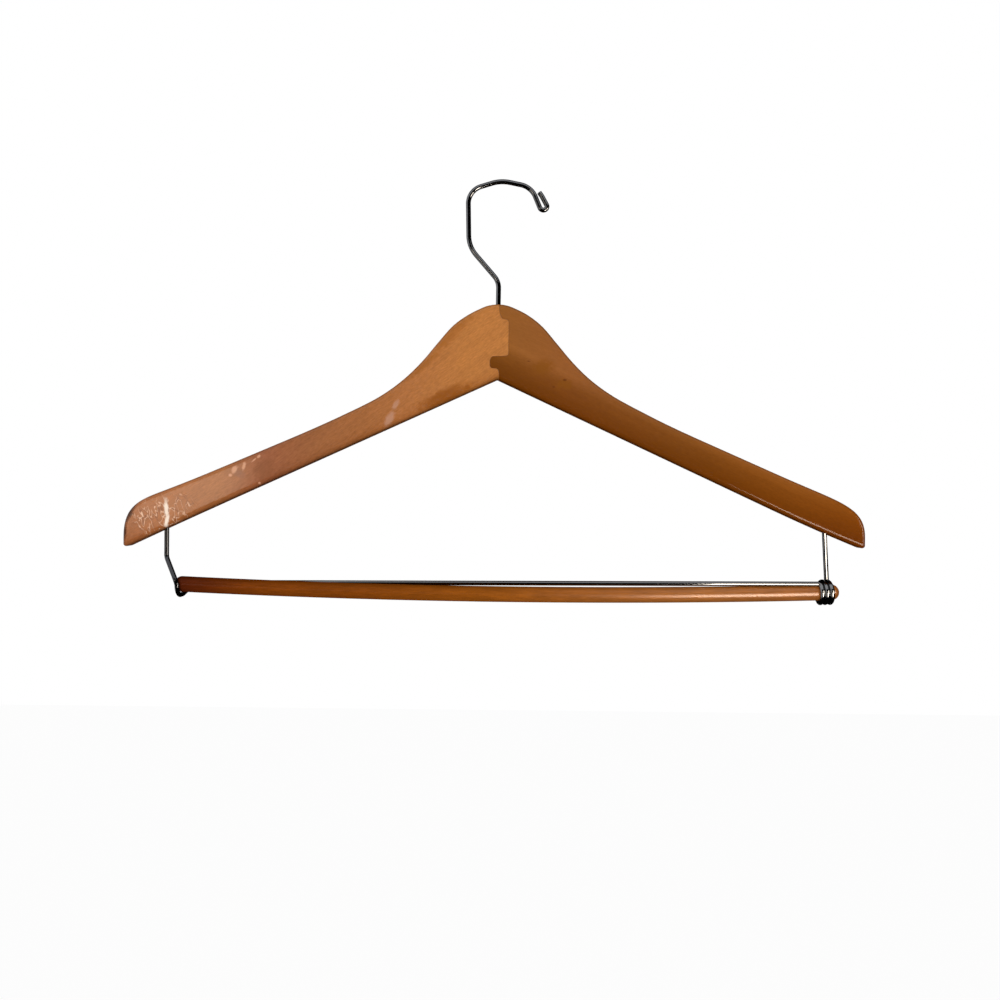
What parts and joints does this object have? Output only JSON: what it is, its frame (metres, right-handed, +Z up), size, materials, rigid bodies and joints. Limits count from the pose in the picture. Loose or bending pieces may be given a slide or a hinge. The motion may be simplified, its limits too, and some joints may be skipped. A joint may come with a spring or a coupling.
{
  "type": "suit hanger",
  "caption": "Flat wooden suit hanger with a swivelling bent wire hook and a sprung round trouser bar clamped by a long spring wire.",
  "frame": {"origin": "inner face of the hook's crown, straight above the stem, where the hanger rests on a rod", "axes": "+Z up along the hook's stem, +X to the right along the trouser bar towards the coil, front of the arms towards -Y"},
  "size_m": [0.4403, 0.018, 0.2528],
  "materials": {
    "light_wood": "clear gloss lacquer on light reddish hardwood",
    "dark_wood": "clear gloss lacquer on golden brown hardwood",
    "bar_wood": "stained and lacquered turned hardwood",
    "hook_wire": "bright plated wire",
    "spring_wire": "bright plated spring wire",
    "insert_steel": "plain rolled steel"
  },
  "bodies": {
    "hook": {"hook": "hook_wire"},
    "arms": {"left_arm": "light_wood", "right_arm": "dark_wood", "hook_insert": "insert_steel", "catch_wire": "spring_wire"},
    "bar": {"trouser_bar": "bar_wood", "lock_wire": "spring_wire"},
    "clamp": {"pressure_wire": "spring_wire"}
  },
  "joints": [
    {"name": "hook_swivel", "type": "hinge", "parent": "hook", "child": "arms", "pos_m": [0, 0, -0.0835], "axis": [0, 0, 1], "continuous": true},
    {"name": "bar_swing", "type": "hinge", "parent": "arms", "child": "bar", "pos_m": [0.20035, 0.00633, -0.2409], "axis": [0.1065, 0.1497, -0.983], "range_deg": [0, 60]},
    {"name": "clamp_flex", "type": "hinge", "parent": "bar", "child": "clamp", "pos_m": [0.18682, -0.00416, -0.23665], "axis": [0, 1, 0], "range_deg": [0, 4], "stiffness_Nm_per_rad": 2.6, "springref_deg": -2.01}
  ]
}
